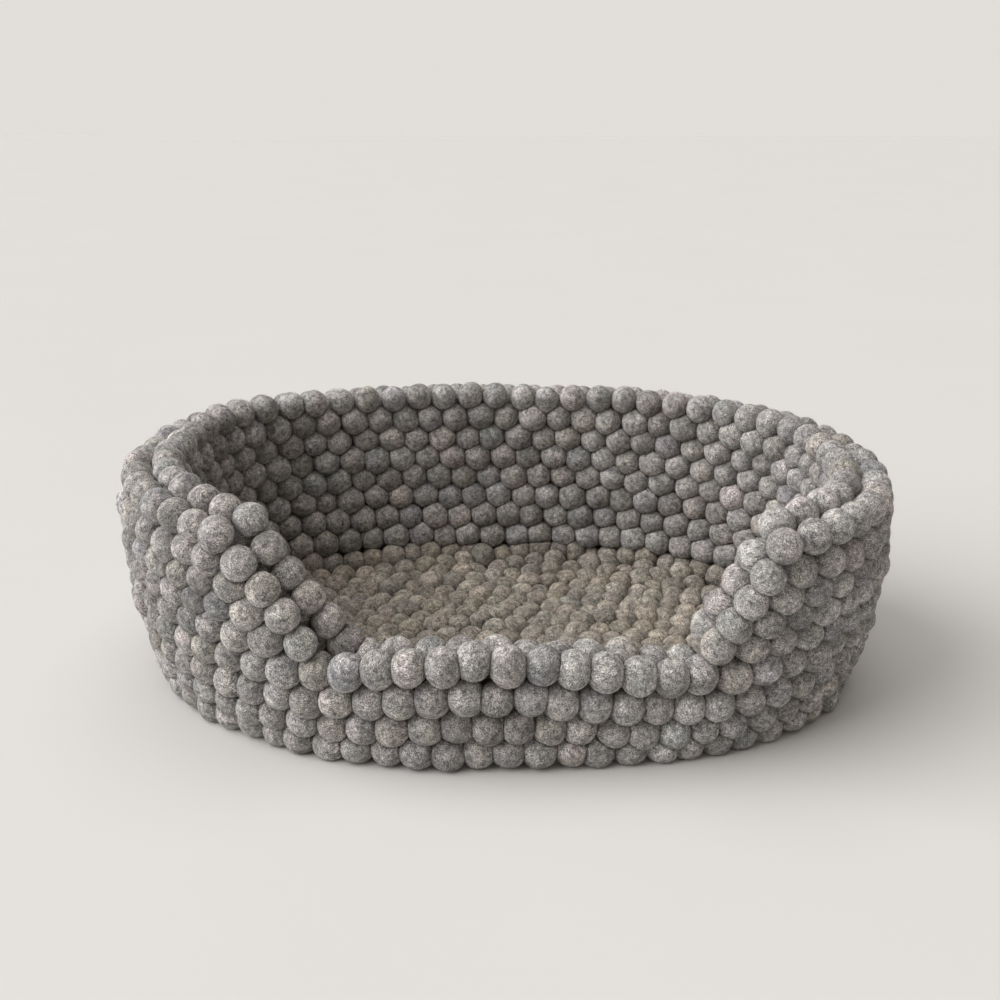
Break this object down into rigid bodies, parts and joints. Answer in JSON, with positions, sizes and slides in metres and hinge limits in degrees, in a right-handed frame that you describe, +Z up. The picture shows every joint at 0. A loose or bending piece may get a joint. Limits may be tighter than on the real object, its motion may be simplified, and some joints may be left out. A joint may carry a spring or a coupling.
{
  "type": "felted wool pet bed",
  "caption": "Oval pet bed of felted wool balls sewn together: a wall of two leaves, dipped at the front as an entrance, around a flat mat floor.",
  "frame": {"origin": "on the floor, below the middle of the whole bed", "axes": "+Z up, the entrance towards -Y, the long axis of the oval along X"},
  "size_m": [0.5983, 0.3916, 0.1859],
  "materials": {
    "wool_felt": "felted undyed grey-brown wool, matt and slightly hairy"
  },
  "bodies": {
    "root": {"base_mat": "wool_felt", "outer_leaf": "wool_felt", "inner_leaf": "wool_felt"}
  },
  "joints": []
}
